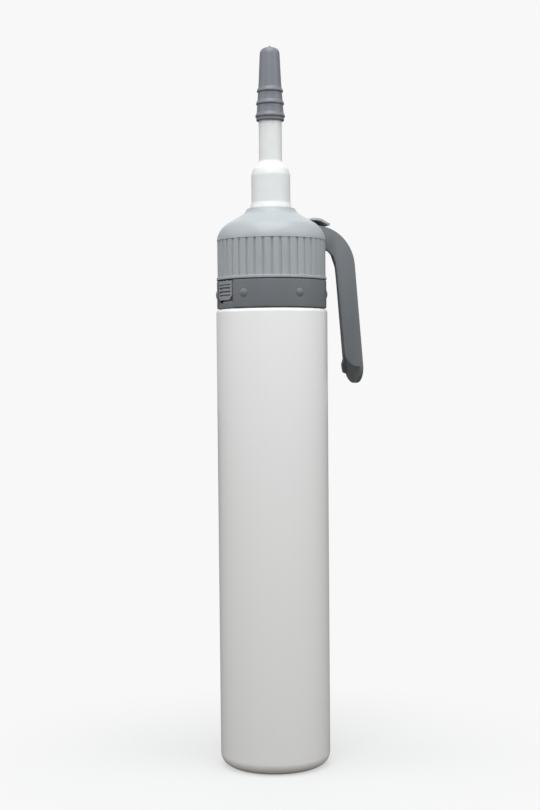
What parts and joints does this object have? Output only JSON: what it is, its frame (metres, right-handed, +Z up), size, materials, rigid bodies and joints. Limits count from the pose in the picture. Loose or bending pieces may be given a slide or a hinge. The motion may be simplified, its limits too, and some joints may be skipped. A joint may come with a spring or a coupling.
{
  "type": "pressurised caulk can",
  "caption": "White pressurised caulk can with a grey ribbed dome, side squeeze lever, stepped white nozzle and pull-off tip cap.",
  "frame": {"origin": "centre of the can's base, on the plane it stands on", "axes": "+Z up along the can towards the nozzle, +X towards the squeeze lever"},
  "size_m": [0.0606, 0.045, 0.2916],
  "materials": {
    "can_lacquer": "gloss white lacquer",
    "gasket_rubber": "matte",
    "cup_tinplate": "bright tinplate",
    "valve_plastic": "natural",
    "spring_steel": "drawn wire",
    "dark_grey_plastic": "satin",
    "slider_grey_plastic": "satin",
    "light_grey_plastic": "satin",
    "white_plastic": "satin",
    "cap_grey_plastic": "satin"
  },
  "bodies": {
    "root": {"can": "can_lacquer", "cup_gasket": "gasket_rubber", "valve_cup": "cup_tinplate", "stem_seal": "gasket_rubber", "valve_housing": "valve_plastic", "valve_spring": "spring_steel", "collar_ring": "dark_grey_plastic"},
    "slider": {"lock_slider": "slider_grey_plastic"},
    "dome": {"ribbed_dome": "light_grey_plastic"},
    "lever": {"lever": "dark_grey_plastic"},
    "stem": {"valve_stem": "valve_plastic", "nozzle": "white_plastic"},
    "cap": {"tip_cap": "cap_grey_plastic"}
  },
  "joints": [
    {"name": "dome_turn", "type": "hinge", "parent": "root", "child": "dome", "pos_m": [0, 0, 0.2], "axis": [0, 0, 1], "range_deg": [0, 60]},
    {"name": "lever_squeeze", "type": "hinge", "parent": "dome", "child": "lever", "pos_m": [-0.013, 0, 0.2129], "axis": [0, 1, 0], "range_deg": [0, 7.5], "stiffness_Nm_per_rad": 3},
    {"name": "stem_press", "type": "slide", "parent": "root", "child": "stem", "axis": [0, 0, -1], "range_m": [0, 0.00175], "deforming": ["valve_spring"]},
    {"name": "cap_pull", "type": "slide", "parent": "stem", "child": "cap", "axis": [0, 0, 1], "range_m": [0, 0.03]},
    {"name": "lock_slide", "type": "slide", "parent": "root", "child": "slider", "axis": [0, 0, -1], "range_m": [0, 0.001]}
  ],
  "couplings": [
    {"joint": "stem_press", "follows": "lever_squeeze", "m_per_rad": 0.013}
  ]
}
